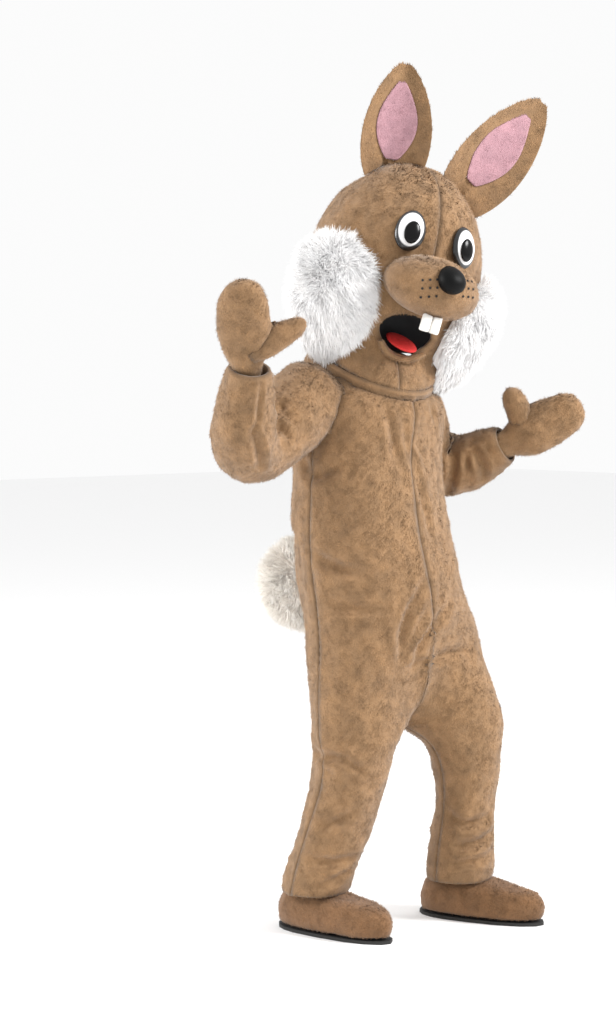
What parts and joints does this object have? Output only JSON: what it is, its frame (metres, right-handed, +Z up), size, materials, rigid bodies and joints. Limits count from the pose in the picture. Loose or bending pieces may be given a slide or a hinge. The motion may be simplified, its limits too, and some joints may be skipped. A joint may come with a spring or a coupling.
{
  "type": "rabbit mascot costume",
  "caption": "Worn plush rabbit costume: loose suit with ball tail, hollow head with upright ears, open mouth and furred cheeks, mitts and shoe covers.",
  "frame": {"origin": "between the shoulders, 1.30 m over the soles, where the suit hangs on its wearer", "axes": "+Z up, -Y the way the chest faces, +X to the costume's left; one metre per unit"},
  "size_m": [1.0729, 0.7074, 2.0478],
  "materials": {
    "back_left": "short-pile plush, brushed",
    "back_placket": "short-pile plush, brushed",
    "back_right": "short-pile plush, brushed",
    "cheek_left": "long-pile white fur",
    "cheek_right": "long-pile white fur",
    "ear_left": "short-pile plush, brushed",
    "ear_lining_left": "short-pile pink plush",
    "ear_lining_right": "short-pile pink plush",
    "ear_right": "short-pile plush, brushed",
    "eye_left": "white, glossy",
    "eye_right": "white, glossy",
    "front_left": "short-pile plush, brushed",
    "front_right": "short-pile plush, brushed",
    "head_left": "short-pile plush, brushed",
    "head_right": "short-pile plush, brushed",
    "lower_lip": "short-pile plush, brushed",
    "mitt_left": "short-pile plush, brushed",
    "mitt_right": "short-pile plush, brushed",
    "mouth_lining": "black mesh fabric over a thin bowl",
    "muzzle": "short-pile plush, brushed",
    "neck_band": "short-pile plush, brushed",
    "nose": "black, satin",
    "pupil_left": "black, glossy",
    "pupil_right": "black, glossy",
    "shoe_left": "short-pile plush, orange-brown",
    "shoe_right": "short-pile plush, orange-brown",
    "sleeve_left": "short-pile plush, brushed",
    "sleeve_right": "short-pile plush, brushed",
    "sole_left": "matt black sole sheet",
    "sole_right": "matt black sole sheet",
    "tail": "long-pile off-white fur",
    "thumb_left": "short-pile plush, brushed",
    "thumb_right": "short-pile plush, brushed",
    "tongue": "red felt",
    "tooth_left": "off-white foam",
    "tooth_right": "off-white foam"
  },
  "bodies": {
    "root": {"back_left": "back_left", "back_placket": "back_placket", "back_right": "back_right", "cheek_left": "cheek_left", "cheek_right": "cheek_right", "ear_left": "ear_left", "ear_lining_left": "ear_lining_left", "ear_lining_right": "ear_lining_right", "ear_right": "ear_right", "eye_left": "eye_left", "eye_right": "eye_right", "front_left": "front_left", "front_right": "front_right", "head_left": "head_left", "head_right": "head_right", "lower_lip": "lower_lip", "mitt_left": "mitt_left", "mitt_right": "mitt_right", "mouth_lining": "mouth_lining", "muzzle": "muzzle", "neck_band": "neck_band", "nose": "nose", "pupil_left": "pupil_left", "pupil_right": "pupil_right", "shoe_left": "shoe_left", "shoe_right": "shoe_right", "sleeve_left": "sleeve_left", "sleeve_right": "sleeve_right", "sole_left": "sole_left", "sole_right": "sole_right", "tail": "tail", "thumb_left": "thumb_left", "thumb_right": "thumb_right", "tongue": "tongue", "tooth_left": "tooth_left", "tooth_right": "tooth_right"}
  },
  "joints": []
}
